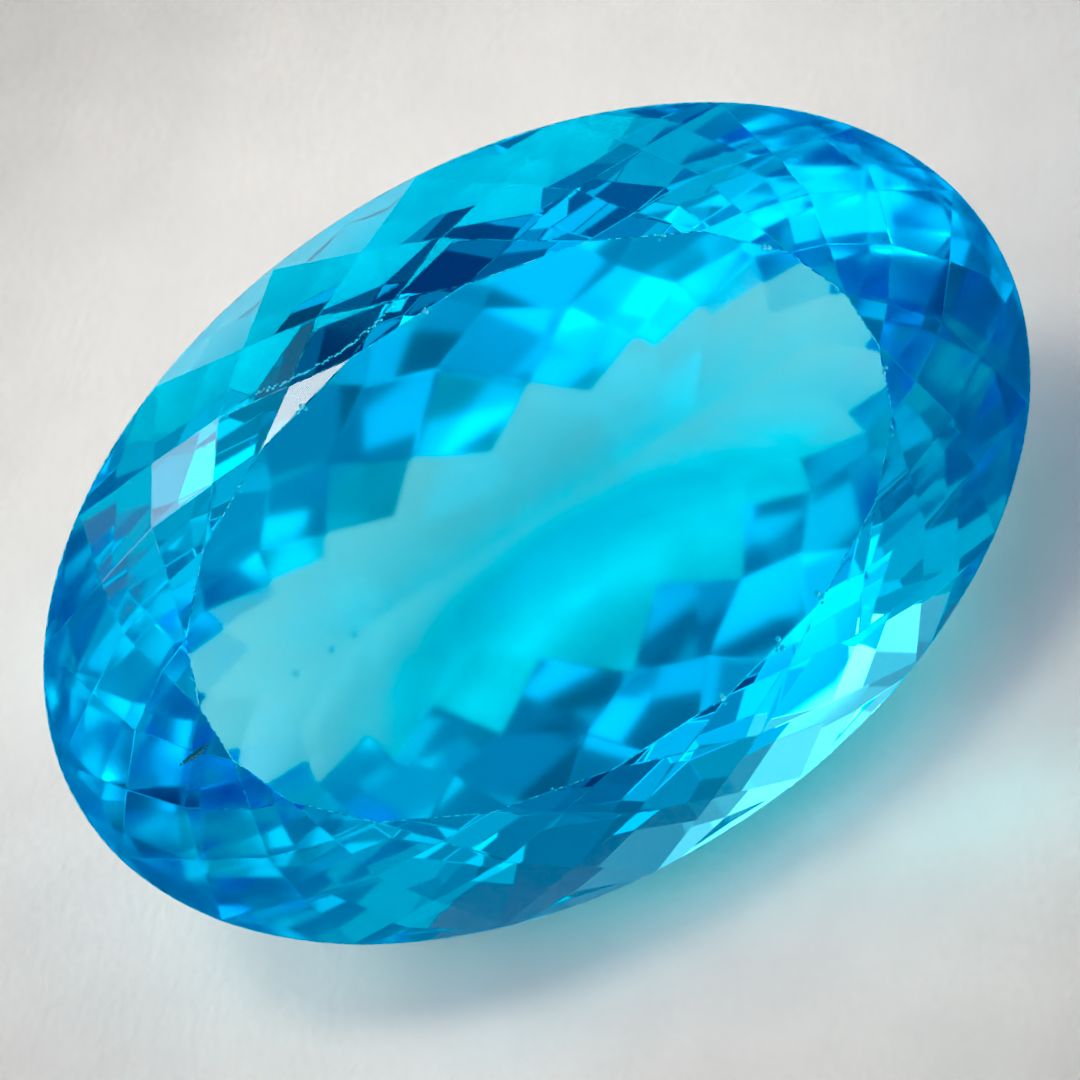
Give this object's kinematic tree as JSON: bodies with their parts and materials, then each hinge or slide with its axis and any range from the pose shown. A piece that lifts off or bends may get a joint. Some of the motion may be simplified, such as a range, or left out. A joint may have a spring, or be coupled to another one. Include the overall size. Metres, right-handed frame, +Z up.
{
  "type": "cut topaz gemstone",
  "caption": "Oval cut blue topaz with a large table, kite-faceted crown, deep pavilion of staggered facet rows and a short keel, lying on a pavilion facet.",
  "frame": {"origin": "on the surface the stone lies on, straight below the middle of its outline seen from above", "axes": "+Z up, +X along the stone's long axis, the table leans towards -Y"},
  "size_m": [0.022, 0.012, 0.0111],
  "materials": {
    "topaz": "polished, clear blue"
  },
  "bodies": {
    "root": {"topaz": "topaz"}
  },
  "joints": []
}
